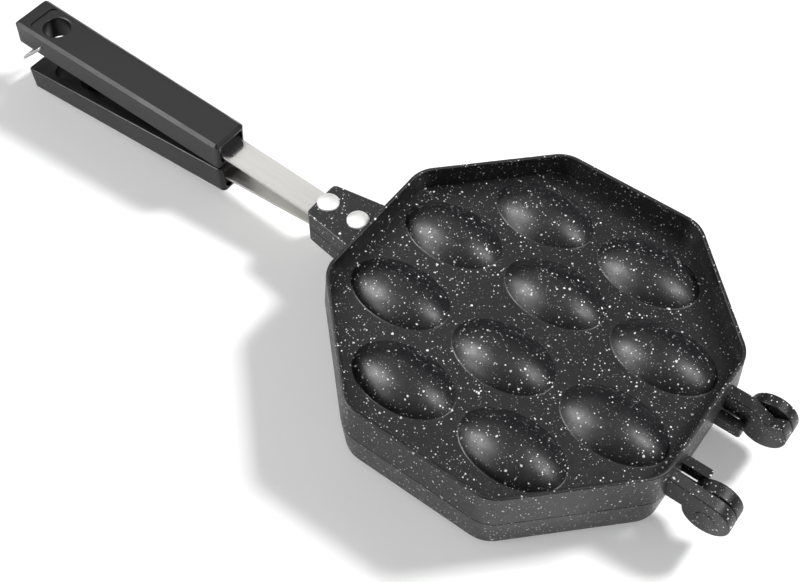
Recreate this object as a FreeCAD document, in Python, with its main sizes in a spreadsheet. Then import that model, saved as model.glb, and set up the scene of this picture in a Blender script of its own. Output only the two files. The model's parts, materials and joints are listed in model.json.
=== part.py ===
import FreeCAD, Part
import math
import os
import re
import Sketcher
from FreeCAD import Placement, Rotation, Vector

# Egg waffle pan: two identical cast halves, hinged at one side, with a strap and a grip each.
# Working frame: X runs from the grips to the hinge, Y across, Z up, and z = 0 is the seam between
# the halves, at the middle of the pan. Every piece is made for the upper half. The lower half's
# pieces are the same ones, turned half a turn about X. At the end all of them move together, so
# that the origin is the middle of the whole pan's box, on the plane that it stands on.

SIZES = {
    # Cast half
    "pan_width": 190.0,          # across flats, at the rim's top
    "half_height": 22.0,         # seam to rim
    "wall_draft": 1.6,           # how much wider each side is at the seam
    "corner_radius": 17.3,
    "rim_width": 2.0,
    "rim_round": 0.7,
    "tray_depth": 13.2,
    "seam_gap": 0.5,
    "land_width": 9.0,           # the flat that closes on the other half
    "web_recess": 3.25,
    "web_corner_radius": 11.0,
    # Egg moulds
    "egg_length": 55.0,
    "egg_width": 35.2,
    "egg_rise": 9.0,
    "egg_wall": 3.5,
    "egg_root_share": 0.8,       # how far down the bump's root goes, as a share of its depth
    "egg_root_angle": 4.0,       # degrees that a mould's sides run past its opening
    "egg_pitch": 61.3,
    "inner_row": 22.8,
    "outer_row": 61.4,
    "egg_foot_round": 0.9,
    # Strap tab on the cast half
    "tab_reach": 35.2,           # from the rim's top to the tab's end
    "tab_height": 11.0,
    "tab_half_width": 11.7,
    "tab_root_half_width": 17.4,
    "tab_corner_radius": 3.0,
    "tab_edge_round": 0.8,
    # Strap
    "strap_width": 15.5,
    "strap_thickness": 1.8,
    "strap_height": 4.9,         # outer face above the seam, inside the tab
    "strap_bend_reach": 36.0,    # from the rim's top to the bend
    "strap_inner_length": 6.3,   # past the inner rivet
    "strap_splay": 4.4,          # degrees
    "strap_free_length": 60.7,   # bend to grip
    "tang_length": 63.0,         # inside the grip
    "strap_end_round": 3.0,
    "strap_side_gap": 0.15,
    "strap_end_gap": 0.5,
    # Rivets
    "rivet_pitch": 19.5,
    "rivet_end_distance": 5.4,   # from the tab's end
    "rivet_head_radius": 5.9,
    "rivet_head_rise": 2.4,
    "rivet_head_edge": 0.9,      # height of the head's side, under its crown
    "rivet_head_round": 0.8,
    "rivet_shank_radius": 3.0,
    "rivet_tail_radius": 4.4,
    "rivet_tail_rise": 2.0,
    "rivet_gap": 0.1,
    # Hinge
    "pin_reach": 21.9,           # from the rim's top to the pin
    "tongue_start": 20.5,
    "tongue_width": 7.0,
    "tongue_radius": 11.7,
    "tongue_arm_height": 11.5,
    "relief_start_back": 9.4,    # from the pin, towards the pan
    "relief_low_ahead": 1.6,
    "relief_low_height": 5.5,
    "relief_end_ahead": 7.7,
    "relief_end_height": 8.9,
    "hinge_side_gap": 1.0,
    "ear_width": 6.5,
    "ear_radius": 11.9,
    "ear_back": 0.1,             # ear's centre, from the pin towards the pan
    "ear_lift": 0.9,
    "ear_root_height": 14.8,
    "arm_lift": 0.3,             # underside of the arms above the seam
    "stop_width": 5.0,
    "stop_side_gap": 0.5,
    "stop_reach": 14.5,          # from the rim's top
    "stop_height": 7.2,
    "stop_corner_round": 1.5,
    "hinge_edge_round": 0.7,
    "pin_head_radius": 5.0,
    "pin_head_stand": 0.3,
    "pin_edge_chamfer": 0.4,
    "pin_radius": 3.45,
    "pin_running_gap": 0.05,
    "pin_seat_gap": 0.02,
    "pin_end_gap": 0.4,
    "tongue_bore_floor": 1.3,
    # Grip, measured from the strap's outer face and bend
    "grip_length": 151.5,
    "grip_front_rise": 9.3,
    "grip_rear_rise": 4.8,
    "grip_front_drop": 9.0,
    "grip_rear_drop": 10.3,
    "grip_front_half_width": 11.0,
    "grip_rear_half_width": 12.6,
    "grip_corner_round": 2.6,
    "grip_chamfer": 1.8,
    "grip_edge_round": 0.8,
    "panel_front_margin": 10.0,
    "panel_rear_margin": 9.0,
    "panel_side_margin": 1.0,
    "panel_corner_radius": 3.5,
    "panel_depth": 0.7,
    "hang_hole_radius": 7.5,
    "hang_hole_margin": 21.8,    # from the grip's rear end to the hole's centre
    "hang_hole_round": 0.8,
    "core_half_width": 6.0,
    "core_front_margin": 11.0,
    "core_rear_margin": 35.2,
    "core_corner_radius": 5.0,
    "step_length": 8.5,
    "step_side_margin": 1.2,
    "step_depth": 0.8,
    # Collar in the grip's mouth
    "collar_half_width": 8.8,
    "collar_rise": 6.4,
    "collar_drop": 6.0,
    "collar_length": 7.0,
    "collar_sink": 2.2,
    "collar_gap": 0.1,
    "collar_round": 2.5,
    "lip_reach": 6.9,
    "lip_half_width": 8.5,
    "lip_tip_half_width": 4.8,
    "lip_round": 2.5,
    "lip_thickness": 1.0,
    # Screws and inserts that hold the grip
    "screw_front_distance": 21.0,
    "screw_pitch": 32.0,
    "screw_radius": 2.0,
    "screw_length": 6.4,
    "screw_head_radius": 3.9,
    "screw_head_height": 2.2,
    "screw_head_round": 0.8,
    "screw_slot_width": 1.0,
    "screw_slot_length": 4.6,
    "screw_slot_depth": 1.2,
    "screw_gap": 0.1,
    "insert_radius": 3.2,
    "insert_length": 4.6,
    "insert_gap": 0.05,
    # Wire bail
    "wire_radius": 0.8,
    "bail_leg_length": 26.5,
    "bail_bend_radius": 3.5,
    "bail_pin_bend_radius": 1.2,
    "bail_pin_depth": 3.2,
    "bail_side_gap": 0.4,
    "bail_hole_gap": 0.06,
    "bail_rear_distance": 19.4,  # from the grip's rear end to the pivot
    "bail_drop": 3.6,            # pivot below the strap's outer face
    "bail_hang_angle": 43.0,     # degrees below level, at rest
    # How far cuts run past the metal
    "overrun": 5.0,
}

doc = FreeCAD.newDocument("EggWafflePan")
PIECES = []


def write_sheet():
    """Writes each size to its own cell, under its own name."""
    sheet = doc.addObject("Spreadsheet::Sheet", "Sizes")
    for row, (name, value) in enumerate(SIZES.items(), start=1):
        sheet.set(f"A{row}", name)
        sheet.set(f"B{row}", str(value))
        sheet.setAlias(f"B{row}", name)
    doc.recompute()
    return sheet


sheet = write_sheet()


def size(name):
    """A size as the sheet holds it."""
    return float(sheet.get(name))


def formula(text):
    """Turns a sum of size names into an expression on the sheet."""
    return re.sub(r"[a-z_]+", lambda word: "Sizes." + word.group(0) if word.group(0) in SIZES
                  else word.group(0), text)


def bind(thing, field, text):
    thing.setExpression(field, formula(text))


def value(thing, text):
    """What a formula comes to now, as a plain number."""
    result = thing.evalExpression(formula(text))
    return float(getattr(result, "Value", result))


# Sketches

def new_body(label):
    body = doc.addObject("PartDesign::Body", label)
    body.Label = label
    PIECES.append(body)
    return body


def origin_plane(body, role):
    return next(plane for plane in body.Origin.OriginFeatures if plane.Role == role)


def attach(body, feature, role, offset):
    """Lays a sketch or a solid on one of the body's own planes, moved by three formulas."""
    feature.AttachmentSupport = [(origin_plane(body, role), "")]
    feature.MapMode = "FlatFace"
    for axis, text in zip("xyz", offset):
        if text != "0":
            bind(feature, f"AttachmentOffset.Base.{axis}", text)


def new_sketch(body, name, role, height):
    sketch = body.newObject("Sketcher::SketchObject", name)
    attach(body, sketch, role, ("0", "0", height))
    return sketch


def dimension(sketch, text, *constraint):
    """A constraint whose value is bound to a formula."""
    index = sketch.addConstraint(Sketcher.Constraint(*constraint, value(sketch, text)))
    bind(sketch, f"Constraints[{index}]", text)


def pin_point(sketch, geometry, end, place):
    """Holds a point at two formulas, measured from the sketch's origin."""
    fields = (("DistanceX", -2, place[0]), ("DistanceY", -1, place[1]))
    for kind, axis, text in fields:
        if text == "0":
            sketch.addConstraint(Sketcher.Constraint("PointOnObject", geometry, end, axis))
            continue
        dimension(sketch, text, kind, -1, 1, geometry, end)


def polygon(body, name, role, corners, height="0"):
    """A closed outline through corners, each a pair of formulas."""
    sketch = new_sketch(body, name, role, height)
    count = len(corners)
    points = [Vector(value(sketch, x), value(sketch, y), 0) for x, y in corners]
    for i in range(count):
        sketch.addGeometry(Part.LineSegment(points[i], points[(i + 1) % count]))
    for i in range(count):
        sketch.addConstraint(Sketcher.Constraint("Coincident", i, 2, (i + 1) % count, 1))
    for i, corner in enumerate(corners):
        pin_point(sketch, i, 1, corner)
    return sketch


def circle(body, name, role, centre, radius, height="0"):
    sketch = new_sketch(body, name, role, height)
    middle = Vector(value(sketch, centre[0]), value(sketch, centre[1]), 0)
    sketch.addGeometry(Part.Circle(middle, Vector(0, 0, 1), value(sketch, radius)))
    pin_point(sketch, 0, 3, centre)
    dimension(sketch, radius, "Radius", 0)
    return sketch


def octagon(half_width):
    """Corners of a regular octagon whose flats lie half_width from the middle."""
    long_side = f"({half_width})"
    short_side = f"({half_width}) * tan(22.5)"
    corners = [(long_side, short_side), (short_side, long_side)]
    corners += [(f"-{y}", x) for x, y in corners]
    corners += [(f"-{x}", f"-{y}") for x, y in corners[:2]]
    corners += [(y, f"-{x}") for x, y in corners[:2]]
    return corners


# Solids

def pad(body, sketch, length, **options):
    feature = body.newObject("PartDesign::Pad", sketch.Name + "Pad")
    feature.Profile = sketch
    bind(feature, "Length", length)
    for field, setting in options.items():
        setattr(feature, field, setting)
    sketch.Visibility = False
    doc.recompute()
    return feature


def pocket(body, sketch, length, **options):
    """Cuts a sketch out of the body, and stops if nothing was cut."""
    before = body.Shape.Volume
    feature = body.newObject("PartDesign::Pocket", sketch.Name + "Pocket")
    feature.Profile = sketch
    bind(feature, "Length", length)
    for field, setting in options.items():
        setattr(feature, field, setting)
    sketch.Visibility = False
    doc.recompute()
    if not body.Shape.Volume < before:
        raise RuntimeError(f"{body.Label}: {feature.Name} cuts nothing")
    return feature


def finish_edges(body, kind, name, amount, wanted):
    """Rounds or bevels the edges that wanted() picks."""
    edges = [f"Edge{i}" for i, edge in enumerate(body.Shape.Edges, start=1) if wanted(edge)]
    if not edges:
        raise RuntimeError(f"{body.Label}: {name} finds no edge")
    base = body.Tip
    feature = body.newObject(f"PartDesign::{kind}", name)
    feature.Base = (base, edges)
    bind(feature, "Radius" if kind == "Fillet" else "Size", amount)
    doc.recompute()
    return feature


NEAR = 1e-3                      # places closer than this are one place
STEEP = 4                        # least rise of an upright edge, in units of its run
FACING = math.cos(math.radians(10))
ROUND = 1.9 * math.pi            # least length of a hole's edge, in units of the hole's radius


def is_level(edge, height):
    """True for an edge that lies at one height."""
    box = edge.BoundBox
    return abs(box.ZMin - height) < NEAR and abs(box.ZMax - height) < NEAR


def is_upright(edge):
    """True for an edge that rises steeply from one end to the other."""
    points = [vertex.Point for vertex in edge.Vertexes]
    if len(points) < 2:
        return False
    run = points[1] - points[0]
    return abs(run.z) > STEEP * math.hypot(run.x, run.y)


# Cast half

SEAM = "seam_gap / 2"
RIM_EDGE = "pan_width / 2"
SEAM_EDGE = "(pan_width / 2 + wall_draft)"
FLOOR = "(half_height - tray_depth)"
WALL_MIDDLE = "(pan_width / 2 - rim_width / 2)"


def cast_wall(body):
    """The drafted octagonal block, with the tray cut from its top."""
    outline = polygon(body, "Outline", "XY_Plane", octagon(SEAM_EDGE), SEAM)
    block = pad(body, outline, f"half_height - {SEAM}")
    bind(block, "TaperAngle", f"-atan(wall_draft / (half_height - {SEAM}))")
    doc.recompute()
    finish_edges(body, "Fillet", "CornerRound", "corner_radius", is_upright)
    tray = polygon(body, "Tray", "XY_Plane", octagon("pan_width / 2 - rim_width"), FLOOR)
    pocket(body, tray, "tray_depth + overrun", Reversed=True)
    floor = size("half_height") - size("tray_depth")
    top = size("half_height")
    finish_edges(body, "Fillet", "TrayCornerRound", "corner_radius - rim_width",
                 lambda edge: is_upright(edge) and abs(edge.BoundBox.ZMin - floor) < NEAR)
    finish_edges(body, "Fillet", "RimRound", "rim_round", lambda edge: is_level(edge, top))


def ellipse_cap(body, name, offset, long_axis, short_axis, chord):
    """The part of an ellipse on the XZ plane that lies above a level chord."""
    sketch = body.newObject("Sketcher::SketchObject", name)
    attach(body, sketch, "XZ_Plane", offset)
    whole = Part.Ellipse(Vector(0, 0, 0), value(sketch, long_axis) / 2, value(sketch, short_axis) / 2)
    start = math.asin(value(sketch, chord) / whole.MinorRadius)
    cap = Part.ArcOfEllipse(whole, start, math.pi - start)
    sketch.addGeometry(cap)
    sketch.addGeometry(Part.LineSegment(cap.EndPoint, cap.StartPoint))
    sketch.exposeInternalGeometry(0)
    sketch.addConstraint(Sketcher.Constraint("Coincident", 0, 3, -1, 1))
    sketch.addConstraint(Sketcher.Constraint("PointOnObject", 2, 1, -1))
    sketch.addConstraint(Sketcher.Constraint("Coincident", 0, 2, 1, 1))
    sketch.addConstraint(Sketcher.Constraint("Coincident", 0, 1, 1, 2))
    dimension(sketch, long_axis, "Distance", 2)
    dimension(sketch, short_axis, "Distance", 3)
    for end in (1, 2):
        dimension(sketch, chord, "DistanceY", -1, 1, 0, end)
    return sketch


def egg_row(body, name, kind, row, count, wall, level):
    """One row of egg moulds: a cap turned about the egg's long axis, then repeated along X.

    The axis lies under the tray's floor, so that the bump's outline on the floor is the egg's.
    wall is how far the surface lies inside the bump's, and level is the height where it opens.
    """
    ball_radius = "(((egg_width / 2) ^ 2 / egg_rise + egg_rise) / 2)"
    depth = f"({ball_radius} - egg_rise)"
    stretch = f"sqrt(1 - ({depth} / {ball_radius}) ^ 2)"
    opening = f"({level} - {FLOOR} + {depth})"
    offset = (f"-egg_pitch * {(count - 1) / 2}", f"{FLOOR} - {depth}", f"-({row})")
    profile = ellipse_cap(body, name + "Profile", offset, f"egg_length / {stretch} - 2 * {wall}",
                          f"2 * ({ball_radius} - {wall})", f"{opening} * egg_root_share")
    first = body.newObject(f"PartDesign::{kind}", name)
    first.Profile = profile
    first.ReferenceAxis = (profile, ["H_Axis"])
    first.Midplane = True
    first.Refine = False
    bind(first, "Angle", f"2 * acos({opening} / ({ball_radius} - {wall})) + 2 deg * egg_root_angle")
    profile.Visibility = False
    doc.recompute()
    row_of_eggs = body.newObject("PartDesign::LinearPattern", name + "Row")
    row_of_eggs.Originals = [first]
    row_of_eggs.Direction = (profile, ["H_Axis"])
    bind(row_of_eggs, "Length", f"egg_pitch * {count - 1}")
    row_of_eggs.Occurrences = count
    row_of_eggs.Refine = False
    body.Tip = row_of_eggs
    doc.recompute()


EGG_ROWS = (("inner_row", 3), ("-inner_row", 3), ("outer_row", 2), ("-outer_row", 2))


def egg_moulds(body):
    """Ten moulds: a bump in the tray and a hollow of the same wall on the cooking side."""
    for index, (row, count) in enumerate(EGG_ROWS, start=1):
        egg_row(body, f"Bumps{index}", "Revolution", row, count, "0", FLOOR)
    floor = size("half_height") - size("tray_depth")
    finish_edges(body, "Fillet", "EggFootRound", "egg_foot_round",
                 lambda edge: is_level(edge, floor) and len(edge.Vertexes) == 1)
    web = polygon(body, "Web", "XY_Plane", octagon(f"{SEAM_EDGE} - land_width"), SEAM)
    pocket(body, web, "web_recess", Reversed=True)
    low = size("seam_gap") / 2
    high = low + size("web_recess")

    def in_web(edge):
        box = edge.BoundBox
        return is_upright(edge) and abs(box.ZMin - low) < NEAR and abs(box.ZMax - high) < NEAR

    finish_edges(body, "Fillet", "WebCornerRound", "web_corner_radius", in_web)
    for index, (row, count) in enumerate(EGG_ROWS, start=1):
        egg_row(body, f"Hollows{index}", "Groove", row, count, "egg_wall", f"({SEAM} + web_recess)")


def strap_tab(body):
    """The tab that takes the strap, with the strap's seat cut into its seam side."""
    end = "-(pan_width / 2 + tab_reach)"
    root = f"-{WALL_MIDDLE}"
    tab = polygon(body, "Tab", "XY_Plane", [(root, "tab_root_half_width"), (end, "tab_half_width"),
                                            (end, "-tab_half_width"), (root, "-tab_root_half_width")], SEAM)
    pad(body, tab, f"tab_height - {SEAM}")
    tip = -(size("pan_width") / 2 + size("tab_reach"))
    top = size("tab_height")
    finish_edges(body, "Fillet", "TabCornerRound", "tab_corner_radius",
                 lambda edge: is_upright(edge) and abs(edge.CenterOfMass.x - tip) < NEAR)
    wall = -(size("pan_width") / 2 + size("wall_draft"))
    finish_edges(body, "Fillet", "TabEdgeRound", "tab_edge_round",
                 lambda edge: is_level(edge, top) and edge.CenterOfMass.x < wall)
    seat = polygon(body, "StrapSeat", "XY_Plane",
                   [("-(pan_width / 2 + tab_reach + overrun)", "strap_width / 2 + strap_side_gap"),
                    (f"{INNER_END} + strap_end_gap", "strap_width / 2 + strap_side_gap"),
                    (f"{INNER_END} + strap_end_gap", "-(strap_width / 2 + strap_side_gap)"),
                    ("-(pan_width / 2 + tab_reach + overrun)", "-(strap_width / 2 + strap_side_gap)")],
                   SEAM)
    pocket(body, seat, f"strap_height - {SEAM}", Reversed=True)
    for place, name in RIVETS:
        hole = circle(body, f"RivetHole{name.title()}", "XY_Plane", (place, "0"),
                      "rivet_shank_radius + rivet_gap", "strap_height")
        pocket(body, hole, "tab_height", Reversed=True)


OUTER_RIVET = "-(pan_width / 2 + tab_reach - rivet_end_distance)"
INNER_RIVET = f"({OUTER_RIVET} + rivet_pitch)"
RIVETS = ((OUTER_RIVET, "outer"), (INNER_RIVET, "inner"))
INNER_END = f"({INNER_RIVET} + strap_inner_length)"

# Hinge. The ear and its stop stand at -Y, the tongue at +Y, so that each half's tongue lies
# beside the other half's ear.

PIN_X = "(pan_width / 2 + pin_reach)"
EAR_START = "(tongue_start + tongue_width + hinge_side_gap)"
EAR_END = f"({EAR_START} + ear_width)"
TONGUE_END = "(tongue_start + tongue_width)"


def soften_outline(body, name, side, sign):
    """Rounds a hinge part's outline on one of its upright faces, clear of the wall."""
    place = sign * value(body, side)
    wall = size("pan_width") / 2 + size("wall_draft")
    low = size("arm_lift")

    def on_outline(edge):
        box = edge.BoundBox
        on_face = abs(box.YMin - place) < NEAR and abs(box.YMax - place) < NEAR
        return on_face and box.XMax > wall and box.ZMax > low + NEAR

    finish_edges(body, "Fillet", name, "hinge_edge_round", on_outline)


def hinge_ear(body):
    centre = (f"{PIN_X} - ear_back", "ear_lift")
    arm = polygon(body, "EarArm", "XZ_Plane",
                  [(WALL_MIDDLE, "arm_lift"), (WALL_MIDDLE, "ear_root_height"),
                   (centre[0], "ear_lift + ear_radius"), (centre[0], "arm_lift")], EAR_START)
    pad(body, arm, "ear_width")
    knuckle = circle(body, "Ear", "XZ_Plane", centre, "ear_radius", EAR_START)
    pad(body, knuckle, "ear_width")
    soften_outline(body, "EarOuterRound", EAR_END, -1)
    soften_outline(body, "EarInnerRound", EAR_START, -1)
    bore = circle(body, "EarBore", "XZ_Plane", (PIN_X, "0"), "pin_head_radius + pin_seat_gap", EAR_END)
    pocket(body, bore, "ear_width")


def hinge_stop(body):
    reach = f"{RIM_EDGE} + stop_reach"
    stop = polygon(body, "Stop", "XZ_Plane",
                   [(WALL_MIDDLE, SEAM), (WALL_MIDDLE, "stop_height"), (reach, "stop_height"),
                    (reach, SEAM)], "tongue_start - stop_side_gap - stop_width")
    pad(body, stop, "stop_width")
    end = size("pan_width") / 2 + size("stop_reach")
    finish_edges(body, "Fillet", "StopCornerRound", "stop_corner_round",
                 lambda edge: is_upright(edge) and abs(edge.CenterOfMass.x - end) < NEAR)


def hinge_tongue(body):
    """The tongue, relieved along its top, with a blind bore for the other half's pin."""
    arm = polygon(body, "TongueArm", "XZ_Plane",
                  [(WALL_MIDDLE, "arm_lift"), (WALL_MIDDLE, "tongue_arm_height"),
                   (PIN_X, "tongue_arm_height"), (PIN_X, "arm_lift")], f"-{TONGUE_END}")
    pad(body, arm, "tongue_width")
    knuckle = circle(body, "Tongue", "XZ_Plane", (PIN_X, "0"), "tongue_radius", f"-{TONGUE_END}")
    pad(body, knuckle, "tongue_width")
    relief = polygon(body, "TongueRelief", "XZ_Plane",
                     [(f"{PIN_X} - relief_start_back", "tongue_arm_height"),
                      (f"{PIN_X} + relief_low_ahead", "relief_low_height"),
                      (f"{PIN_X} + relief_end_ahead", "relief_end_height"),
                      (f"{PIN_X} + relief_end_ahead", "tongue_arm_height + overrun"),
                      (f"{PIN_X} - relief_start_back", "tongue_arm_height + overrun")],
                     f"-{TONGUE_END}")
    pocket(body, relief, "tongue_width", Reversed=True)
    soften_outline(body, "TongueOuterRound", TONGUE_END, 1)
    soften_outline(body, "TongueInnerRound", "tongue_start", 1)
    bore = circle(body, "TongueBore", "XZ_Plane", (PIN_X, "0"), "pin_radius + pin_running_gap",
                  f"-{TONGUE_END}")
    pocket(body, bore, "tongue_width - tongue_bore_floor", Reversed=True)


def cast_half(label):
    body = new_body(label)
    cast_wall(body)
    strap_tab(body)
    hinge_ear(body)
    hinge_stop(body)
    hinge_tongue(body)
    egg_moulds(body)
    return body


def hinge_pin(label):
    """A stepped pin: its head sits in the ear, its shank runs in the other half's tongue."""
    body = new_body(label)
    head = circle(body, "Head", "XZ_Plane", (PIN_X, "0"), "pin_head_radius",
                  f"{EAR_END} + pin_head_stand")
    pad(body, head, "ear_width + pin_head_stand", Reversed=True)
    outer = -sum(size(name) for name in ("tongue_start", "tongue_width", "hinge_side_gap",
                                         "ear_width", "pin_head_stand"))
    finish_edges(body, "Chamfer", "HeadBevel", "pin_edge_chamfer",
                 lambda edge: abs(edge.CenterOfMass.y - outer) < NEAR)
    shank = circle(body, "Shank", "XZ_Plane", (PIN_X, "0"), "pin_radius", EAR_START)
    pad(body, shank, "hinge_side_gap + tongue_width - tongue_bore_floor - pin_end_gap", Reversed=True)
    return body


# Strap and rivets

BEND_X = "-(pan_width / 2 + strap_bend_reach)"


def strap(label):
    """The flat steel strap: level in the tab, then bent out by the splay angle."""
    body = new_body(label)
    run = "(strap_free_length + tang_length)"
    far = (f"{BEND_X} - {run} * cos(strap_splay)", f"strap_height + {run} * sin(strap_splay)")
    side = polygon(body, "Side", "XZ_Plane",
                   [(INNER_END, "strap_height"), (BEND_X, "strap_height"), far,
                    (f"{far[0]} - strap_thickness * sin(strap_splay)",
                     f"{far[1]} - strap_thickness * cos(strap_splay)"),
                    (f"{BEND_X} - strap_thickness * tan(strap_splay / 2)",
                     "strap_height - strap_thickness"),
                    (INNER_END, "strap_height - strap_thickness")])
    pad(body, side, "strap_width", Midplane=True)
    thickness = size("strap_thickness")
    finish_edges(body, "Fillet", "EndRound", "strap_end_round",
                 lambda edge: is_upright(edge) and abs(edge.Length - thickness) < NEAR)
    for place, name in RIVETS:
        hole = circle(body, f"RivetHole{name.title()}", "XY_Plane", (place, "0"),
                      "rivet_shank_radius + rivet_gap", "strap_height")
        pocket(body, hole, "strap_thickness")
    for place, name in SCREWS:
        hole = circle(body, f"ScrewHole{name.title()}", "XY_Plane", (place, "0"),
                      "screw_radius + screw_gap")
        hole.AttachmentOffset = Placement(Vector(), Rotation(Vector(0, 1, 0), size("strap_splay")))
        bind(hole, "AttachmentOffset.Base.x", BEND_X)
        bind(hole, "AttachmentOffset.Base.z", "strap_height")
        bind(hole, "AttachmentOffset.Rotation.Angle", "strap_splay")
        pocket(body, hole, "strap_thickness")
    return body


def head_profile(body, place):
    """Half of the rivet head's section: a low side under a round crown."""
    sketch = body.newObject("Sketcher::SketchObject", "HeadProfile")
    attach(body, sketch, "XZ_Plane", (place, "tab_height", "0"))
    radius = size("rivet_head_radius")
    side = size("rivet_head_edge")
    top = size("rivet_head_rise")
    crown = (radius ** 2 + (top - side) ** 2) / (2 * (top - side))
    ball = Part.Circle(Vector(0, top - crown, 0), Vector(0, 0, 1), crown)
    foot = Vector(radius, 0, 0)
    shoulder = Vector(radius, side, 0)
    peak = Vector(0, top, 0)
    sketch.addGeometry(Part.LineSegment(Vector(), foot))
    sketch.addGeometry(Part.LineSegment(foot, shoulder))
    sketch.addGeometry(Part.ArcOfCircle(ball, math.acos(radius / crown), math.pi / 2))
    sketch.addGeometry(Part.LineSegment(peak, Vector()))
    for i in range(4):
        sketch.addConstraint(Sketcher.Constraint("Coincident", i, 2, (i + 1) % 4, 1))
    sketch.addConstraint(Sketcher.Constraint("PointOnObject", 2, 3, -2))
    pin_point(sketch, 0, 1, ("0", "0"))
    pin_point(sketch, 1, 1, ("rivet_head_radius", "0"))
    pin_point(sketch, 2, 1, ("rivet_head_radius", "rivet_head_edge"))
    pin_point(sketch, 3, 1, ("0", "rivet_head_rise"))
    return sketch


def rivet(label, place):
    """A domed head on the tab, a shank and a flattened tail under the strap."""
    body = new_body(label)
    middle = (place, "0")
    shank = circle(body, "Shank", "XY_Plane", middle, "rivet_shank_radius",
                   "strap_height - strap_thickness")
    pad(body, shank, "tab_height - strap_height + strap_thickness")
    tail = circle(body, "Tail", "XY_Plane", middle, "rivet_tail_radius",
                  "strap_height - strap_thickness")
    pad(body, tail, "rivet_tail_rise", Reversed=True)
    low = size("strap_height") - size("strap_thickness") - size("rivet_tail_rise")
    finish_edges(body, "Fillet", "TailRound", "rivet_tail_rise / 2", lambda edge: is_level(edge, low))
    profile = head_profile(body, place)
    head = body.newObject("PartDesign::Revolution", "Head")
    head.Profile = profile
    head.ReferenceAxis = (profile, ["V_Axis"])
    head.Angle = 360
    profile.Visibility = False
    doc.recompute()
    rim = size("tab_height") + size("rivet_head_edge")
    finish_edges(body, "Fillet", "HeadRound", "rivet_head_round", lambda edge: is_level(edge, rim))
    return body


# Grip and what it holds. These pieces are made in the strap's own frame: the origin is the bend,
# on the strap's outer face, X points back at the pan along the strap, and Z points outwards.

MOUTH = "-strap_free_length"
REAR = "(-strap_free_length - grip_length)"
SCREW_FRONT = "(-strap_free_length - screw_front_distance)"
SCREWS = ((SCREW_FRONT, "front"), (f"({SCREW_FRONT} - screw_pitch)", "rear"))
BAIL_X = f"({REAR} + bail_rear_distance)"


def box_corners(low_x, high_x, low_y, high_y):
    return [(low_x, low_y), (high_x, low_y), (high_x, high_y), (low_x, high_y)]


def mirrored(low_x, high_x, half_width):
    return box_corners(low_x, high_x, f"-({half_width})", half_width)


def face_outline(body, direction):
    """Edges of the flat face that looks most nearly along a direction, farthest that way."""
    flat = [face for face in body.Shape.Faces if face.Surface.TypeId == "Part::GeomPlane"]
    facing = [face for face in flat if face.normalAt(0, 0).dot(direction) > FACING]
    farthest = max(facing, key=lambda face: face.CenterOfMass.dot(direction))
    return farthest.OuterWire.Edges


def grip_block(body):
    """The tapered block: its side outline made wide, then trimmed to its plan."""
    side = polygon(body, "Side", "XZ_Plane",
                   [(MOUTH, "grip_front_rise"), (REAR, "grip_rear_rise"), (REAR, "-grip_rear_drop"),
                    (MOUTH, "-grip_front_drop")])
    pad(body, side, "2 * (grip_rear_half_width + overrun)", Midplane=True)
    spread = "overrun * (grip_rear_half_width - grip_front_half_width) / grip_length"
    for sign, name in (("", "TrimPlus"), ("-", "TrimMinus")):
        corners = [(f"{MOUTH} + overrun", f"{sign}(grip_front_half_width - {spread})"),
                   (f"{REAR} - overrun", f"{sign}(grip_rear_half_width + {spread})"),
                   (f"{REAR} - overrun", f"{sign}(grip_rear_half_width + 2 * overrun)"),
                   (f"{MOUTH} + overrun", f"{sign}(grip_rear_half_width + 2 * overrun)")]
        trim = polygon(body, name, "XY_Plane", corners)
        pocket(body, trim, "2 * (grip_front_drop + grip_front_rise)", Midplane=True)
    finish_edges(body, "Fillet", "CornerRound", "grip_corner_round", is_upright)


def grip_edges(body):
    """Bevels the outer face along its sides and rear, and softens the inner face's outline."""
    mouth = -size("strap_free_length")
    outer = face_outline(body, Vector(0, 0, 1))
    long_edges = [edge for edge in outer if abs(edge.CenterOfMass.x - mouth) > NEAR
                  and edge.BoundBox.XMax < mouth - NEAR]
    finish_edges(body, "Chamfer", "SideBevel", "grip_chamfer",
                 lambda edge: any(edge.isSame(item) for item in long_edges))
    inner = face_outline(body, Vector(0, 0, -1))
    finish_edges(body, "Fillet", "InnerRound", "grip_edge_round",
                 lambda edge: any(edge.isSame(item) for item in inner))


def grip_panel(body):
    """The shallow panel sunk into the sloping outer face."""
    slope = "atan((grip_front_rise - grip_rear_rise) / grip_length)"
    front = "panel_front_margin"
    rear = "(grip_length - panel_rear_margin)"
    shrink = "grip_chamfer + panel_side_margin"
    corners = [(f"-{front}", f"grip_front_half_width - {shrink}"),
               (f"-{rear}", f"grip_rear_half_width - ({shrink})"),
               (f"-{rear}", f"-(grip_rear_half_width - ({shrink}))"),
               (f"-{front}", f"-(grip_front_half_width - ({shrink}))")]
    panel = polygon(body, "Panel", "XY_Plane", corners)
    panel.AttachmentOffset = Placement(Vector(), Rotation(Vector(0, -1, 0), 1))
    bind(panel, "AttachmentOffset.Base.x", MOUTH)
    bind(panel, "AttachmentOffset.Base.z", "grip_front_rise")
    bind(panel, "AttachmentOffset.Rotation.Angle", slope)
    pocket(body, panel, "panel_depth")
    depth = size("panel_depth")
    finish_edges(body, "Fillet", "PanelCornerRound", "panel_corner_radius",
                 lambda edge: is_upright(edge) and abs(edge.Length - depth) < NEAR
                 and edge.CenterOfMass.z > 0)


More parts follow.
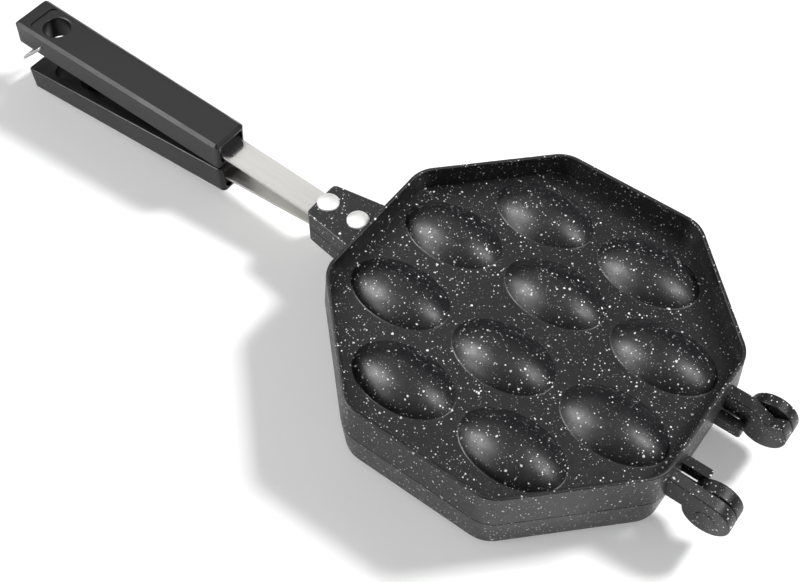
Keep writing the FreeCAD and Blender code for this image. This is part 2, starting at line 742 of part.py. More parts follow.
def grip_openings(body):
    """The hang hole, the core, the strap's slot, the mouth and the step at the rear."""
    hang = circle(body, "HangHole", "XY_Plane", (f"{REAR} + hang_hole_margin", "0"),
                  "hang_hole_radius")
    pocket(body, hang, "2 * (grip_rear_drop + grip_rear_rise)", Midplane=True)
    radius = size("hang_hole_radius")
    finish_edges(body, "Fillet", "HangHoleRound", "hang_hole_round",
                 lambda edge: edge.Curve.TypeId in ("Part::GeomEllipse", "Part::GeomCircle")
                 and edge.Length > ROUND * radius)
    core = polygon(body, "Core", "XY_Plane",
                   mirrored(f"{REAR} + core_rear_margin", f"{MOUTH} - core_front_margin",
                            "core_half_width"))
    pocket(body, core, "grip_front_drop + grip_rear_drop")
    drop = size("grip_front_drop") / 2
    finish_edges(body, "Fillet", "CoreCornerRound", "core_corner_radius",
                 lambda edge: is_upright(edge) and abs(edge.BoundBox.ZMax) < NEAR
                 and edge.Length > drop)
    slot = polygon(body, "StrapSlot", "XY_Plane",
                   mirrored(f"{MOUTH} - tang_length - strap_end_gap", f"{MOUTH} + overrun",
                            "strap_width / 2 + strap_side_gap"))
    pocket(body, slot, "strap_thickness + strap_side_gap")
    mouth = polygon(body, "Mouth", "YZ_Plane",
                    box_corners("-collar_half_width", "collar_half_width", "-collar_drop",
                                "collar_rise"), MOUTH)
    pocket(body, mouth, "collar_sink + collar_length")
    half_width = size("collar_half_width")
    depth = size("collar_length")

    def along_mouth(edge):
        return abs(abs(edge.CenterOfMass.y) - half_width) < NEAR \
            and edge.BoundBox.XLength > depth and edge.BoundBox.ZLength < NEAR

    finish_edges(body, "Fillet", "MouthCornerRound", "collar_round", along_mouth)
    step = polygon(body, "Step", "XY_Plane",
                   mirrored(f"{REAR} - overrun", f"{REAR} + step_length",
                            "grip_rear_half_width - step_side_margin"),
                   "step_depth - grip_rear_drop")
    pocket(body, step, "step_depth + overrun")


def insert_seats(body):
    for place, name in SCREWS:
        seat = circle(body, f"InsertSeat{name.title()}", "XY_Plane", (place, "0"),
                      "insert_radius + insert_gap")
        pocket(body, seat, "insert_length + insert_gap", Reversed=True)


def bail_holes(body):
    for sign, name, reverse in (("", "Near", False), ("-", "Far", True)):
        hole = circle(body, f"BailHole{name}", "XZ_Plane", (BAIL_X, "-bail_drop"),
                      "wire_radius + bail_hole_gap", f"{sign}grip_rear_half_width")
        pocket(body, hole, "bail_pin_depth + bail_side_gap", Reversed=reverse)


def grip(label, with_bail):
    body = new_body(label)
    grip_block(body)
    grip_edges(body)
    grip_panel(body)
    grip_openings(body)
    insert_seats(body)
    if with_bail:
        bail_holes(body)
    return body


def collar(label):
    """The lining of the grip's mouth, with the strap's slot and a lip over the strap."""
    body = new_body(label)
    face = f"{MOUTH} - collar_sink"
    block = polygon(body, "Block", "YZ_Plane",
                    box_corners("-(collar_half_width - collar_gap)", "collar_half_width - collar_gap",
                                "-(collar_drop - collar_gap)", "collar_rise - collar_gap"), face)
    pad(body, block, "collar_length - collar_gap", Reversed=True)
    length = size("collar_length") - size("collar_gap")
    finish_edges(body, "Fillet", "CornerRound", "collar_round",
                 lambda edge: abs(edge.Length - length) < NEAR)
    lip = polygon(body, "Lip", "XY_Plane",
                  [(f"{face} - collar_length / 2", "-lip_half_width"), (face, "-lip_half_width"),
                   (f"{face} + lip_reach", "-lip_tip_half_width"),
                   (f"{face} + lip_reach", "lip_tip_half_width"), (face, "lip_half_width"),
                   (f"{face} - collar_length / 2", "lip_half_width")], "collar_gap")
    pad(body, lip, "lip_thickness")
    tip = -size("strap_free_length") - size("collar_sink") + size("lip_reach")
    finish_edges(body, "Fillet", "LipRound", "lip_round",
                 lambda edge: is_upright(edge) and abs(edge.CenterOfMass.x - tip) < NEAR)
    slot = polygon(body, "StrapSlot", "YZ_Plane",
                   box_corners("-(strap_width / 2 + strap_side_gap)",
                               "strap_width / 2 + strap_side_gap",
                               "-(strap_thickness + strap_side_gap)", "collar_gap"),
                   f"{MOUTH} + overrun")
    pocket(body, slot, "collar_length + collar_sink + 2 * overrun")
    return body


def grip_insert(label, place):
    """The threaded bush moulded into the grip."""
    body = new_body(label)
    outside = circle(body, "Outside", "XY_Plane", (place, "0"), "insert_radius")
    pad(body, outside, "insert_length")
    inside = circle(body, "Inside", "XY_Plane", (place, "0"), "screw_radius + insert_gap")
    pocket(body, inside, "insert_length", Reversed=True)
    return body


def grip_screw(label, place):
    """A round-headed screw: its head clamps the strap from the core's side."""
    body = new_body(label)
    head = circle(body, "Head", "XY_Plane", (place, "0"), "screw_head_radius", "-strap_thickness")
    pad(body, head, "screw_head_height", Reversed=True)
    low = -size("strap_thickness") - size("screw_head_height")
    finish_edges(body, "Fillet", "HeadRound", "screw_head_round", lambda edge: is_level(edge, low))
    shank = circle(body, "Shank", "XY_Plane", (place, "0"), "screw_radius", "-strap_thickness")
    pad(body, shank, "screw_length - insert_gap")
    for name, length, width in (("SlotAlong", "screw_slot_length", "screw_slot_width"),
                                ("SlotAcross", "screw_slot_width", "screw_slot_length")):
        slot = polygon(body, name, "XY_Plane",
                       mirrored(f"{place} - {length} / 2", f"{place} + {length} / 2", f"{width} / 2"),
                       "-strap_thickness - screw_head_height")
        pocket(body, slot, "screw_slot_depth", Reversed=True)
    return body


def rounded_path(corners, radii):
    """Straight runs through corners, joined by arcs, as geometry for a sketch."""
    parts = []
    start = corners[0]
    for before, corner, after, radius in zip(corners, corners[1:], corners[2:], radii):
        back = (before - corner).normalize()
        ahead = (after - corner).normalize()
        half_turn = back.getAngle(ahead) / 2
        reach = radius / math.tan(half_turn)
        middle = corner + (back + ahead).normalize() * radius * (1 / math.sin(half_turn) - 1)
        parts.append(Part.LineSegment(start, corner + back * reach))
        parts.append(Part.Arc(corner + back * reach, middle, corner + ahead * reach))
        start = corner + ahead * reach
    parts.append(Part.LineSegment(start, corners[-1]))
    return parts


def wire_bail(label):
    """A loop of round wire whose turned-in ends are its pivots; it is made lying along X."""
    body = new_body(label)
    side = size("grip_rear_half_width") + size("bail_side_gap") + size("wire_radius")
    tip = size("grip_rear_half_width") - size("bail_pin_depth")
    leg = size("bail_leg_length")
    corners = [Vector(0, tip, 0), Vector(0, side, 0), Vector(-leg, side, 0),
               Vector(-leg, -side, 0), Vector(0, -side, 0), Vector(0, -tip, 0)]
    bends = [size("bail_pin_bend_radius"), size("bail_bend_radius")]
    path = new_sketch(body, "Path", "XY_Plane", "0")
    path.addGeometry(rounded_path(corners, bends + bends[::-1]))
    section = circle(body, "Section", "XZ_Plane", ("0", "0"), "wire_radius",
                     "bail_pin_depth - grip_rear_half_width")
    doc.recompute()
    loop = body.newObject("PartDesign::AdditivePipe", "Loop")
    loop.Profile = section
    loop.Spine = (path, [f"Edge{i + 1}" for i in range(len(path.Shape.Edges))])
    doc.recompute()
    return body


# Assembly

def strap_frame():
    """Where the strap's own frame lies on the upper half."""
    bend = -(size("pan_width") / 2 + size("strap_bend_reach"))
    return Placement(Vector(bend, 0, size("strap_height")),
                     Rotation(Vector(0, 1, 0), size("strap_splay")))


def bail_frame():
    """The bail's pivot, turned so that the loop hangs at its rest angle."""
    pivot = Vector(size("bail_rear_distance") - size("strap_free_length") - size("grip_length"), 0,
                   -size("bail_drop"))
    angle = -size("bail_hang_angle") - size("strap_splay")
    return strap_frame() * Placement(pivot, Rotation(Vector(0, 1, 0), angle))


def half_pan(side, turn):
    """All pieces of one half, each turned into its place."""
    for piece in (cast_half(f"{side}_pan"), hinge_pin(f"{side}_hinge_pin"), strap(f"{side}_strap")):
        piece.Placement = turn
    for place, name in RIVETS:
        rivet(f"{side}_{name}_rivet", place).Placement = turn
    along_strap = turn * strap_frame()
    grip(f"{side}_grip", side == "upper").Placement = along_strap
    collar(f"{side}_grip_collar").Placement = along_strap
    for place, name in SCREWS:
        grip_insert(f"{side}_grip_{name}_insert", place).Placement = along_strap
        grip_screw(f"{side}_grip_{name}_screw", place).Placement = along_strap


def stand_on_origin():
    """Moves every piece so that the whole pan's box stands on the origin."""
    boxes = [piece.Shape.optimalBoundingBox(False) for piece in PIECES]
    middle = (min(box.XMin for box in boxes) + max(box.XMax for box in boxes)) / 2
    low = min(box.ZMin for box in boxes)
    shift = Placement(Vector(-middle, 0, -low), Rotation())
    for piece in PIECES:
        piece.Placement = shift * piece.Placement
    doc.recompute()
    print(f"seam's middle at x = {-middle:.4f}, z = {-low:.4f}")


def check():
    """Stops if any feature or any piece came out wrong."""
    for thing in doc.Objects:
        if "Invalid" in thing.State or "Error" in thing.State:
            raise RuntimeError(f"{thing.Label} is not built: {thing.State}")
    for piece in PIECES:
        shape = piece.Shape
        if shape.isNull() or not shape.isValid() or len(shape.Solids) != 1:
            raise RuntimeError(f"{piece.Label} is not one sound solid")


def export():
    os.makedirs("parts", exist_ok=True)
    for piece in PIECES:
        piece.Shape.exportStep(f"parts/{piece.Label}.step")
        print(f"{piece.Label}: {piece.Shape.Volume:.1f}")


half_pan("upper", Placement())
half_pan("lower", Placement(Vector(), Rotation(Vector(1, 0, 0), 180)))
wire_bail("wire_bail").Placement = bail_frame()
stand_on_origin()
check()
export()
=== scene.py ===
import json
import logging
from dataclasses import dataclass
from enum import Enum

import bpy
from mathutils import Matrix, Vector

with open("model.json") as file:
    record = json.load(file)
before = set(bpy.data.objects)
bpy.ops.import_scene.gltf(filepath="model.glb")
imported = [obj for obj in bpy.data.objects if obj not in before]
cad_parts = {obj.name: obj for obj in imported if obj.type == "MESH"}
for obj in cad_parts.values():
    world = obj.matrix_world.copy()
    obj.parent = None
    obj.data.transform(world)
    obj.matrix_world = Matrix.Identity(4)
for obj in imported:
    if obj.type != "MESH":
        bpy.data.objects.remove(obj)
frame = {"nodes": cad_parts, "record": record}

LOG = logging.getLogger("egg_waffle_pan")
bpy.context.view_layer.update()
MM = 0.001

HINGE_REACH = 116.9 * MM    # from the pan's middle to the hinge's pins

# The photograph's camera, measured from the pan's middle.
EYE = Vector((141.36, -295.03, 498.27)) * MM
TARGET = Vector((-66.1, -16.4, 0.0)) * MM

TONE_SPAN = (0.3, 0.7)      # where nearly all of a noise's values lie

Colour = tuple[float, float, float]


class Side(Enum):
    """The two halves of the pan, by the names that their pieces start with."""

    UPPER = "upper"
    LOWER = "lower"


class LampUse(Enum):
    """What a lamp is there for."""

    ROOM = "lights the pan and is mirrored in it"
    SHADOW = "lights the pan and casts its shadow"
    GLOSS = "is mirrored in the pan"


class Graph:
    """A node tree that is filled from left to right."""

    def __init__(self, tree: bpy.types.NodeTree) -> None:
        """Takes over a tree and empties it.

        Args:
            tree: The material's or the group's tree.
        """
        self.tree = tree
        tree.nodes.clear()

    def add(self, kind: str, **settings: object) -> bpy.types.Node:
        """Adds a node.

        Args:
            kind: The node's type, without its ShaderNode prefix where it has one.
            **settings: Properties of the node, by name.

        Returns:
            The node.
        """
        name = kind if kind.startswith("NodeGroup") else "ShaderNode" + kind
        node = self.tree.nodes.new(name)
        for field, setting in settings.items():
            setattr(node, field, setting)
        return node

    def feed(self, node: bpy.types.Node, **inputs: object) -> bpy.types.Node:
        """Sets or links a node's inputs.

        Args:
            node: The node to feed.
            **inputs: A value or an output socket for each input. An underscore stands for a
                blank, and a name such as in_1 for the input at that place.

        Returns:
            The same node.
        """
        for key, source in inputs.items():
            place = int(key[3:]) if key.startswith("in_") else key.replace("_", " ")
            socket = node.inputs[place]
            if isinstance(source, bpy.types.NodeSocket):
                self.tree.links.new(source, socket)
            else:
                socket.default_value = source
        return node

    def math(self, operation: str, first: object, second: object = 0.0,
             clamp: bool = False) -> bpy.types.NodeSocket:
        """Calculates with two values.

        Args:
            operation: What the Math node does with them.
            first: A value or a socket.
            second: A value or a socket.
            clamp: Whether the result stays between 0 and 1.

        Returns:
            The result's socket.
        """
        node = self.add("Math", operation=operation, use_clamp=clamp)
        return self.feed(node, in_0=first, in_1=second).outputs[0]

    def ramp(self, value: object, low: object, high: object, start: float = 0.0,
             end: float = 1.0) -> bpy.types.NodeSocket:
        """Maps one range smoothly onto another.

        Args:
            value: The value's socket.
            low: Where the range starts, a value or a socket.
            high: Where it ends.
            start: The result at low.
            end: The result at high.

        Returns:
            The result's socket.
        """
        node = self.add("MapRange", interpolation_type="SMOOTHSTEP")
        return self.feed(node, in_0=value, in_1=low, in_2=high, in_3=start, in_4=end).outputs[0]


class Effect:
    """Shader node groups that several finishes share, each built once."""

    WOBBLE_FINENESS = 3.0       # of the noise that frays a speck, against the specks' scale
    SIZE_POWER = 1.3            # above 1 most specks are small
    SPECK_CORE = 0.84           # share of a speck's radius that is fully covered
    LEAST_CHANCE = 0.02         # fainter specks are left out
    PALEST_SHADE = 0.7          # the dullest speck, against the whitest
    BROAD_LINES = 0.15          # scale of the slow bands in the brushing, against its lines

    @staticmethod
    def start(name: str, inputs: dict[str, float], outputs: tuple[str, ...]
              ) -> tuple[bpy.types.NodeTree, Graph, bpy.types.Node, bpy.types.Node]:
        """Makes an empty group with its sockets.

        Args:
            name: The group's name.
            inputs: The default of each value input, by name. A Vector input comes first.
            outputs: The names of the value outputs.

        Returns:
            The tree, its graph and its input and output nodes.
        """
        tree = bpy.data.node_groups.new(name, "ShaderNodeTree")
        tree.interface.new_socket("Vector", in_out="INPUT", socket_type="NodeSocketVector")
        for label, default in inputs.items():
            socket = tree.interface.new_socket(label, in_out="INPUT", socket_type="NodeSocketFloat")
            socket.default_value = default
        for label in outputs:
            tree.interface.new_socket(label, in_out="OUTPUT", socket_type="NodeSocketFloat")
        graph = Graph(tree)
        return tree, graph, graph.add("NodeGroupInput"), graph.add("NodeGroupOutput")

    @staticmethod
    def specks() -> bpy.types.NodeTree:
        """Irregular grains of uneven size, scattered through the coating.

        Returns:
            A group that gives a mask of the grains and a shade for each.
        """
        known = bpy.data.node_groups.get("Specks")
        if known:
            return known
        tree, graph, given, result = Effect.start(
            "Specks", {"Scale": 400.0, "Share": 0.4, "Size": 0.2, "Ragged": 0.3}, ("Mask", "Shade"))
        wobble = graph.add("TexNoise")
        graph.feed(wobble, Vector=given.outputs["Vector"], Detail=1.0,
                   Scale=graph.math("MULTIPLY", given.outputs["Scale"], Effect.WOBBLE_FINENESS))
        centred = graph.add("VectorMath", operation="SUBTRACT")
        graph.feed(centred, in_0=wobble.outputs["Color"], in_1=(0.5, 0.5, 0.5))
        shift = graph.add("VectorMath", operation="SCALE")
        graph.feed(shift, in_0=centred.outputs[0],
                   Scale=graph.math("DIVIDE", given.outputs["Ragged"], given.outputs["Scale"]))
        moved = graph.add("VectorMath", operation="ADD")
        graph.feed(moved, in_0=given.outputs["Vector"], in_1=shift.outputs[0])
        cells = graph.add("TexVoronoi")
        graph.feed(cells, Vector=moved.outputs[0], Scale=given.outputs["Scale"])
        parts = graph.add("SeparateColor")
        graph.feed(parts, in_0=cells.outputs["Color"])
        empty = graph.math("SUBTRACT", 1.0, given.outputs["Share"])
        chance = graph.math("DIVIDE", graph.math("SUBTRACT", parts.outputs[0], empty),
                            given.outputs["Share"], clamp=True)
        radius = graph.math("MULTIPLY", graph.math("POWER", chance, Effect.SIZE_POWER),
                            given.outputs["Size"])
        inner = graph.math("MULTIPLY", radius, Effect.SPECK_CORE)
        mask = graph.ramp(cells.outputs["Distance"], inner, radius, 1.0, 0.0)
        there = graph.math("GREATER_THAN", chance, Effect.LEAST_CHANCE)
        graph.feed(result, Mask=graph.math("MULTIPLY", mask, there),
                   Shade=graph.ramp(parts.outputs[1], 0.0, 1.0, Effect.PALEST_SHADE, 1.0))
        return tree

    @staticmethod
    def grain() -> bpy.types.NodeTree:
        """Fine relief with slower patches over it, as on cast, moulded or sprayed surfaces.

        Returns:
            A group that gives the relief's height and a tone, both around 0.5.
        """
        known = bpy.data.node_groups.get("Grain")
        if known:
            return known
        tree, graph, given, result = Effect.start(
            "Grain", {"Fine": 1500.0, "Coarse": 90.0, "Mix": 0.3}, ("Height", "Tone"))
        fine = graph.add("TexNoise")
        graph.feed(fine, Vector=given.outputs["Vector"], Scale=given.outputs["Fine"], Detail=2.0)
        coarse = graph.add("TexNoise")
        graph.feed(coarse, Vector=given.outputs["Vector"], Scale=given.outputs["Coarse"],
                   Detail=3.0)
        mixed = graph.add("Mix")
        graph.feed(mixed, in_0=given.outputs["Mix"], in_2=fine.outputs[0], in_3=coarse.outputs[0])
        graph.feed(result, Height=mixed.outputs[0], Tone=coarse.outputs[0])
        return tree

    @staticmethod
    def brushing() -> bpy.types.NodeTree:
        """Long fine scratches that run along X, as a grinding belt leaves them.

        Returns:
            A group that gives the scratches' height and a tone, both around 0.5.
        """
        known = bpy.data.node_groups.get("Brushing")
        if known:
            return known
        tree, graph, given, result = Effect.start(
            "Brushing", {"Scale": 2600.0, "Stretch": 0.012}, ("Height", "Tone"))
        squeeze = graph.add("CombineXYZ")
        graph.feed(squeeze, X=given.outputs["Stretch"], Y=1.0, Z=1.0)
        drawn = graph.add("VectorMath", operation="MULTIPLY")
        graph.feed(drawn, in_0=given.outputs["Vector"], in_1=squeeze.outputs[0])
        lines = graph.add("TexNoise")
        graph.feed(lines, Vector=drawn.outputs[0], Scale=given.outputs["Scale"], Detail=3.0)
        broad = graph.add("TexNoise")
        graph.feed(broad, Vector=drawn.outputs[0], Detail=2.0,
                   Scale=graph.math("MULTIPLY", given.outputs["Scale"], Effect.BROAD_LINES))
        graph.feed(result, Height=lines.outputs[0], Tone=broad.outputs[0])
        return tree


@dataclass(frozen=True)
class Finish:
    """What every finish has: a name, a colour and a shine.

    The colour runs from its dark to its pale share, and the roughness from a little below its
    value to a little above, as the surface's tone changes.
    """

    name: str
    colour: Colour
    roughness: float
    metallic: float = 0.0
    dark: float = 1.0
    pale: float = 1.0
    smoother: float = 0.05
    rougher: float = 0.08
    relief_depth: float = 0.004 * MM

    def surface(self, graph: Graph) -> tuple[bpy.types.Node, bpy.types.NodeSocket]:
        """Lays the shader, with the finish's plain values.

        Args:
            graph: The material's graph.

        Returns:
            The shader and the socket of the piece's own coordinates.
        """
        shader = graph.add("BsdfPrincipled")
        graph.feed(shader, Base_Color=(*self.colour, 1.0), Roughness=self.roughness,
                   Metallic=self.metallic)
        output = graph.add("OutputMaterial")
        graph.feed(output, Surface=shader.outputs[0])
        return shader, graph.add("TexCoord").outputs["Object"]

    def effect(self, graph: Graph, tree: bpy.types.NodeTree, place: bpy.types.NodeSocket,
               **values: float) -> bpy.types.Node:
        """Places one of the shared effects in the material.

        Args:
            graph: The material's graph.
            tree: The effect's group.
            place: The coordinates that it reads.
            **values: The group's inputs.

        Returns:
            The group's node.
        """
        node = graph.add("Group", node_tree=tree)
        return graph.feed(node, Vector=place, **values)

    def relief(self, graph: Graph, shader: bpy.types.Node, height: bpy.types.NodeSocket) -> None:
        """Gives the shader a bump as deep as the finish's relief.

        Args:
            graph: The material's graph.
            shader: The shader that gets it.
            height: The relief, from 0 to 1.
        """
        bump = graph.add("Bump")
        graph.feed(bump, Height=height, Distance=self.relief_depth, Strength=1.0)
        graph.feed(shader, Normal=bump.outputs[0])

    def shade(self, graph: Graph, tone: bpy.types.NodeSocket) -> bpy.types.NodeSocket:
        """Lets the colour change with a tone.

        Args:
            graph: The material's graph.
            tone: The socket that mixes the dark and the pale colour.

        Returns:
            The colour's socket.
        """
        low = tuple(self.dark * part for part in self.colour)
        high = tuple(self.pale * part for part in self.colour)
        mix = graph.add("Mix", data_type="RGBA")
        return graph.feed(mix, in_0=tone, in_6=(*low, 1.0), in_7=(*high, 1.0)).outputs[2]

    def shine(self, graph: Graph, tone: bpy.types.NodeSocket) -> bpy.types.NodeSocket:
        """Lets the roughness change with a tone.

        Args:
            graph: The material's graph.
            tone: The socket that it follows.

        Returns:
            The roughness's socket.
        """
        return graph.ramp(tone, *TONE_SPAN, self.roughness - self.smoother,
                          self.roughness + self.rougher)

    def dress(self, graph: Graph) -> None:
        """Fills the material's graph."""
        raise NotImplementedError

    def material(self) -> bpy.types.Material:
        """The finish as a material, built the first time that it is asked for.

        Returns:
            The material.
        """
        known = bpy.data.materials.get(self.name)
        if known:
            return known
        made = bpy.data.materials.new(self.name)
        made.use_nodes = True
        self.dress(Graph(made.node_tree))
        return made


@dataclass(frozen=True)
class GrainedFinish(Finish):
    """A surface whose tone, shine and relief all follow the shared grain."""

    fine: float = 1800.0
    coarse: float = 160.0
    coarse_share: float = 0.5

    def grained(self, graph: Graph, place: bpy.types.NodeSocket) -> bpy.types.Node:
        """Places the shared grain with the finish's own values.

        Args:
            graph: The material's graph.
            place: The coordinates that it reads.

        Returns:
            The grain's node.
        """
        return self.effect(graph, Effect.grain(), place, Fine=self.fine, Coarse=self.coarse,
                           Mix=self.coarse_share)

    def dress(self, graph: Graph) -> None:
        """Lets the grain change the tone, the shine and the relief a little.

        Args:
            graph: The material's graph.
        """
        shader, place = self.surface(graph)
        grain = self.grained(graph, place)
        graph.feed(shader, Base_Color=self.shade(graph, grain.outputs["Tone"]),
                   Roughness=self.shine(graph, grain.outputs["Tone"]))
        self.relief(graph, shader, grain.outputs["Height"])


@dataclass(frozen=True)
class SpeckLayer:
    """One size of speck: how fine, how many, how large in its cell, how frayed, how strong."""

    scale: float
    share: float
    size: float
    ragged: float
    strength: float = 1.0


@dataclass(frozen=True)
class StoneCoating(GrainedFinish):
    """Sprayed non-stick coating: near black, semi-gloss, with pale specks of uneven size."""

    dark: float = 0.8
    pale: float = 1.25
    smoother: float = 0.04
    rougher: float = 0.05
    fine: float = 2400.0
    coarse: float = 260.0
    coarse_share: float = 0.35
    relief_depth: float = 0.018 * MM
    speck: Colour = (0.94, 0.94, 0.93)
    layers: tuple[SpeckLayer, ...] = (
        SpeckLayer(scale=420.0, share=0.24, size=0.31, ragged=0.4),
        SpeckLayer(scale=850.0, share=0.36, size=0.38, ragged=0.4),
        SpeckLayer(scale=1900.0, share=0.17, size=0.38, ragged=0.3, strength=0.6))

    def layer_mask(self, graph: Graph, place: bpy.types.NodeSocket,
                   layer: SpeckLayer) -> bpy.types.NodeSocket:
        """Scatters one size of speck.

        Args:
            graph: The material's graph.
            place: The piece's coordinates.
            layer: The size of speck.

        Returns:
            The socket that says how much of the speck's colour shows.
        """
        specks = self.effect(graph, Effect.specks(), place, Scale=layer.scale, Share=layer.share,
                             Size=layer.size, Ragged=layer.ragged)
        shown = graph.math("MULTIPLY", specks.outputs["Mask"], specks.outputs["Shade"])
        return graph.math("MULTIPLY", shown, layer.strength)

    def dress(self, graph: Graph) -> None:
        """Lays the sizes of speck over a finely grained black.

        Args:
            graph: The material's graph.
        """
        shader, place = self.surface(graph)
        grain = self.grained(graph, place)
        mask, *others = (self.layer_mask(graph, place, layer) for layer in self.layers)
        for other in others:
            mask = graph.math("MAXIMUM", mask, other)
        mix = graph.add("Mix", data_type="RGBA")
        graph.feed(mix, in_0=mask, in_6=self.shade(graph, grain.outputs["Tone"]),
                   in_7=(*self.speck, 1.0))
        graph.feed(shader, Base_Color=mix.outputs[2],
                   Roughness=self.shine(graph, grain.outputs["Tone"]))
        self.relief(graph, shader, grain.outputs["Height"])


@dataclass(frozen=True)
class BrushedSteel(Finish):
    """Stainless strip with the belt's fine lines along it."""

    metallic: float = 1.0
    dark: float = 0.86
    smoother: float = 0.06

    def dress(self, graph: Graph) -> None:
        """Draws the lines into the tone, the shine and the relief.

        Args:
            graph: The material's graph.
        """
        shader, place = self.surface(graph)
        lines = self.effect(graph, Effect.brushing(), place)
        graph.feed(shader, Base_Color=self.shade(graph, lines.outputs["Tone"]),
                   Roughness=self.shine(graph, lines.outputs["Height"]))
        self.relief(graph, shader, lines.outputs["Height"])


@dataclass(frozen=True)
class WornMetal(GrainedFinish):
    """Turned, struck or drawn metal with handling marks."""

    metallic: float = 1.0
    dark: float = 0.8


@dataclass(frozen=True)
class MouldedPlastic(GrainedFinish):
    """Pressed phenolic or nylon: even, satin, with the mould's faint texture."""

    dark: float = 0.88
    pale: float = 1.12
    smoother: float = 0.03
    rougher: float = 0.04
    fine: float = 3200.0
    coarse: float = 60.0
    coarse_share: float = 0.2
    relief_depth: float = 0.006 * MM


STONE = StoneCoating("Stone coating", (0.008, 0.008, 0.009), 0.38)
STRAP_STEEL = BrushedSteel("Strap steel", (0.74, 0.73, 0.70), 0.34)
RIVET_METAL = WornMetal("Rivet metal", (0.95, 0.95, 0.94), 0.42, metallic=0.5, dark=0.9)
GRIP_PLASTIC = MouldedPlastic("Grip plastic", (0.006, 0.006, 0.0065), 0.36)
COLLAR_PLASTIC = MouldedPlastic("Collar plastic", (0.018, 0.018, 0.019), 0.42)
BUSH_BRASS = WornMetal("Bush brass", (0.70, 0.52, 0.24), 0.32)
SCREW_STEEL = WornMetal("Screw steel", (0.58, 0.58, 0.58), 0.30)
WIRE_STEEL = WornMetal("Wire steel", (0.50, 0.50, 0.49), 0.28)


def dress_node(name: str, finish: Finish) -> None:
    """Gives a solid of the frame its finish.

    Args:
        name: The node's name.
        finish: The finish.
    """
    node = frame["nodes"][name]
    node.data.materials.clear()
    node.data.materials.append(finish.material())
    LOG.info("%s: %s", name, finish.name)


@dataclass
class CastHalf:
    """One cast half with its hinge pin."""

    side: Side

    def build(self) -> None:
        """Dresses the casting and the pin."""
        dress_node(f"{self.side.value}_pan", STONE)
        dress_node(f"{self.side.value}_hinge_pin", STONE)


@dataclass
class StrapHandle:
    """One half's strap, its rivets and its grip."""

    side: Side

    def build(self) -> None:
        """Dresses every piece of the handle."""
        side = self.side.value
        dress_node(f"{side}_strap", STRAP_STEEL)
        for place in ("outer", "inner"):
            dress_node(f"{side}_{place}_rivet", RIVET_METAL)
        dress_node(f"{side}_grip", GRIP_PLASTIC)
        dress_node(f"{side}_grip_collar", COLLAR_PLASTIC)
        for place in ("front", "rear"):
            dress_node(f"{side}_grip_{place}_insert", BUSH_BRASS)
            dress_node(f"{side}_grip_{place}_screw", SCREW_STEEL)


@dataclass
class Bail:
    """The wire loop at the grips' end."""

    def build(self) -> None:
        """Dresses the loop."""
        dress_node("wire_bail", WIRE_STEEL)


@dataclass(frozen=True)
class SoftLamp:
    """A square lamp that faces the pan.

    Its place is measured from the point that the camera looks at: across to the camera's
    right, behind on the far side from the camera, and high straight up.
    """

    name: str
    across: float
    behind: float
    high: float
    width: float
    height: float
    power: float
    use: LampUse

    def build(self, aim: Vector, right: Vector) -> None:
        """Adds the lamp.

        Args:
            aim: The point that it faces.
            right: The camera's right, level.
        """
        up = Vector((0.0, 0.0, 1.0))
        light = bpy.data.lights.new(self.name, "AREA")
        light.shape = "RECTANGLE"
        light.size = self.width
        light.size_y = self.height
        light.energy = self.power
        lamp = bpy.data.objects.new(self.name, light)
        lamp.location = aim + right * self.across + up.cross(right) * self.behind + up * self.high
        lamp.rotation_euler = (aim - lamp.location).to_track_quat("-Z", "Y").to_euler()
        lamp.visible_diffuse = self.use is not LampUse.GLOSS
        lamp.visible_glossy = self.use is not LampUse.SHADOW
        bpy.context.scene.collection.objects.link(lamp)
        LOG.info("%s lamp: %s", self.name, self.use.value)


LAMPS = (
    SoftLamp("key", across=1.507, behind=0.453, high=1.536, width=0.38, height=0.38, power=58.0,
             use=LampUse.SHADOW),
    SoftLamp("left box", across=-0.88, behind=0.20, high=0.92, width=0.62, height=0.62, power=17.0,
             use=LampUse.GLOSS),
    SoftLamp("right box", across=0.74, behind=-0.17, high=1.05, width=0.50, height=0.50, power=9.8,
             use=LampUse.GLOSS),
    SoftLamp("front", across=-1.14, behind=-0.36, high=0.59, width=0.60, height=0.40, power=6.0,
             use=LampUse.ROOM),
    SoftLamp("card", across=-0.14, behind=0.50, high=0.55, width=0.50, height=0.40, power=0.46,
             use=LampUse.GLOSS))


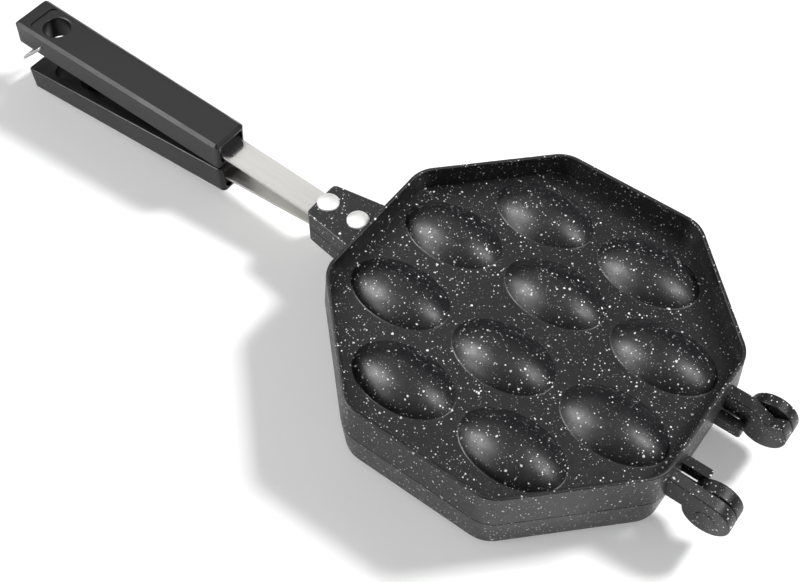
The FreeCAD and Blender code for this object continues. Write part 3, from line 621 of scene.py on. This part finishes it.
@dataclass
class Studio:
    """The white floor, the lamps and the camera.

    The floor glows a little to the camera, so that the photograph's white ground shows. The glow
    grows from floor_near to floor_far, measured from the frame's origin, where the lamps fade.
    """

    eye: Vector
    target: Vector
    lens: float = 54.2
    sensor: float = 36.0
    floor_reach: float = 6.0
    floor_near: float = 0.55
    floor_far: float = 1.60
    floor_white: float = 0.80
    floor_lift: float = 0.26
    sky_light: float = 0.27
    wall_light: float = 0.02
    ceiling_light: float = 0.46
    wall_rise: float = 0.35
    ceiling_rise: float = 0.95

    def floor(self) -> None:
        """Lays the floor, which shows white to the camera and keeps the pan's shadow."""
        bpy.ops.object.select_all(action="DESELECT")
        bpy.ops.mesh.primitive_plane_add(size=self.floor_reach, location=(0.0, 0.0, 0.0))
        plane = bpy.context.object
        plane.name = "floor"
        made = bpy.data.materials.new("White floor")
        made.use_nodes = True
        graph = Graph(made.node_tree)
        cloth = graph.add("BsdfDiffuse")
        graph.feed(cloth, Color=(self.floor_white,) * 3 + (1.0,))
        glow = graph.add("Emission")
        path = graph.add("LightPath")
        span = graph.add("VectorMath", operation="LENGTH")
        graph.feed(span, in_0=graph.add("NewGeometry").outputs["Position"])
        far = graph.ramp(span.outputs["Value"], self.floor_near, self.floor_far,
                         self.floor_lift, 1.0)
        seen = graph.math("MULTIPLY", path.outputs["Is Camera Ray"], far)
        mirrored = graph.math("MULTIPLY", path.outputs["Is Glossy Ray"], self.floor_lift)
        graph.feed(glow, Strength=graph.math("MAXIMUM", seen, mirrored))
        both = graph.add("AddShader")
        graph.feed(both, in_0=cloth.outputs[0], in_1=glow.outputs[0])
        output = graph.add("OutputMaterial")
        graph.feed(output, Surface=both.outputs[0])
        plane.data.materials.append(made)

    def sky(self) -> None:
        """Makes the room: white where it is seen, dimmer as a light, dark low down in the gloss."""
        world = bpy.data.worlds.new("Studio")
        bpy.context.scene.world = world
        world.use_nodes = True
        graph = Graph(world.node_tree)
        path = graph.add("LightPath")
        seen = graph.math("MAXIMUM", path.outputs["Is Camera Ray"],
                          path.outputs["Is Transmission Ray"])
        lit = graph.ramp(seen, 0.0, 1.0, self.sky_light, 1.0)
        sight = graph.add("SeparateXYZ")
        graph.feed(sight, in_0=graph.add("TexCoord").outputs["Generated"])
        mirrored = graph.ramp(sight.outputs["Z"], self.wall_rise, self.ceiling_rise,
                              self.wall_light, self.ceiling_light)
        strength = graph.add("Mix")
        graph.feed(strength, in_0=path.outputs["Is Glossy Ray"], in_2=lit, in_3=mirrored)
        room = graph.add("Background")
        graph.feed(room, Color=(1.0, 1.0, 1.0, 1.0), Strength=strength.outputs[0])
        output = graph.add("OutputWorld")
        graph.feed(output, Surface=room.outputs[0])

    def lamps(self) -> None:
        """Sets the key that casts the shadow, and the boxes and the card that the gloss shows."""
        sight = self.target - self.eye
        right = sight.cross(Vector((0.0, 0.0, 1.0))).normalized()
        for lamp in LAMPS:
            lamp.build(self.target, right)

    def camera(self) -> None:
        """Puts the camera where the photograph was taken from."""
        data = bpy.data.cameras.new("camera")
        data.lens = self.lens
        data.sensor_width = self.sensor
        camera = bpy.data.objects.new("camera", data)
        camera.location = self.eye
        camera.rotation_euler = (self.target - self.eye).to_track_quat("-Z", "Y").to_euler()
        bpy.context.scene.collection.objects.link(camera)
        bpy.context.scene.camera = camera

    def build(self) -> None:
        """Sets the whole stage: the floor, the room, the lamps and the camera."""
        bpy.context.scene.view_settings.view_transform = "Standard"
        self.floor()
        self.sky()
        self.lamps()
        self.camera()


def pan_middle() -> Vector:
    """The middle of the pan, on the seam, worked out from the hinge's place.

    Returns:
        The point, in the frame.
    """
    joints = frame["record"]["behaviour"]["joints"]
    hinge = next(joint for joint in joints if joint["name"] == "lid_hinge")
    return Vector(hinge["pos_m"]) - Vector((HINGE_REACH, 0.0, 0.0))


def main() -> None:
    """Builds the pan's looks, then the stage around it."""
    logging.basicConfig(level=logging.INFO, format="%(name)s: %(message)s")
    middle = pan_middle()
    Studio(eye=middle + EYE, target=middle + TARGET).build()
    for side in Side:
        CastHalf(side).build()
        StrapHandle(side).build()
    Bail().build()


if __name__ == "__main__":
    main()
